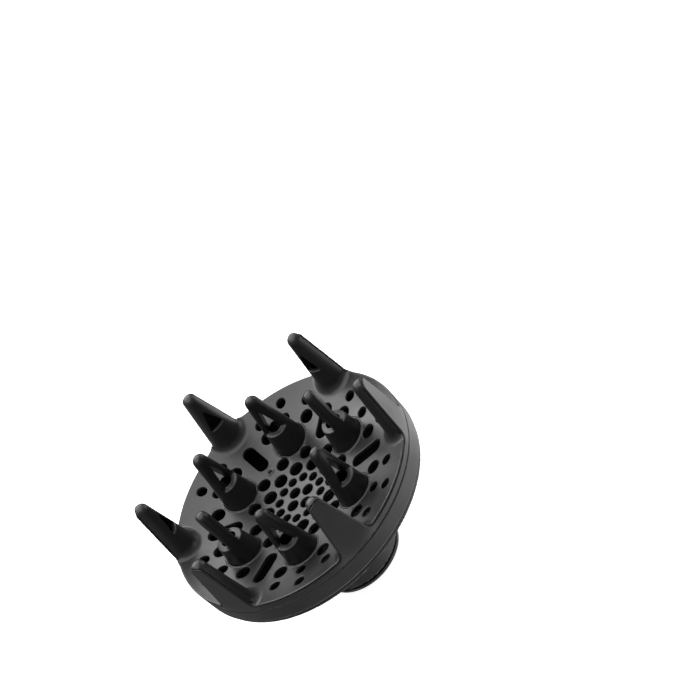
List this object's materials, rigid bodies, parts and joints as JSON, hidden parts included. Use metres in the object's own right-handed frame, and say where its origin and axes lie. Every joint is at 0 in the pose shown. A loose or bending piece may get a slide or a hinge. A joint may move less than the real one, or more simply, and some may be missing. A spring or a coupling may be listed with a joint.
{
  "type": "hair dryer diffuser",
  "caption": "Round bowl diffuser for a hair dryer: perforated dish with hollow inner fingers, a crown of outer fingers, a funnel and a turning push-on collar.",
  "frame": {"origin": "centre of the collar ring's end face, where the part stands", "axes": "+Z along the airway towards the fingertips; +X passes through an inner finger"},
  "size_m": [0.141, 0.141, 0.1038],
  "materials": {
    "dish": "satin black moulded plastic",
    "crown": "satin black moulded plastic",
    "shell": "satin black moulded plastic",
    "finger": "satin black moulded plastic",
    "collar": "matte black moulded plastic",
    "screw": "zinc plated steel"
  },
  "bodies": {
    "collar": {"collar_ring": "collar"},
    "head": {"front_dish": "dish", "crown": "crown", "rear_shell": "shell", "inner_finger_1": "finger", "inner_finger_2": "finger", "inner_finger_3": "finger", "inner_finger_4": "finger", "inner_finger_5": "finger", "inner_finger_6": "finger", "shell_screw_1": "screw", "shell_screw_2": "screw", "shell_screw_3": "screw"}
  },
  "joints": [
    {"name": "collar_turn", "type": "hinge", "parent": "collar", "child": "head", "pos_m": [0, 0, 0.0155], "axis": [0, 0, 1], "continuous": true}
  ]
}
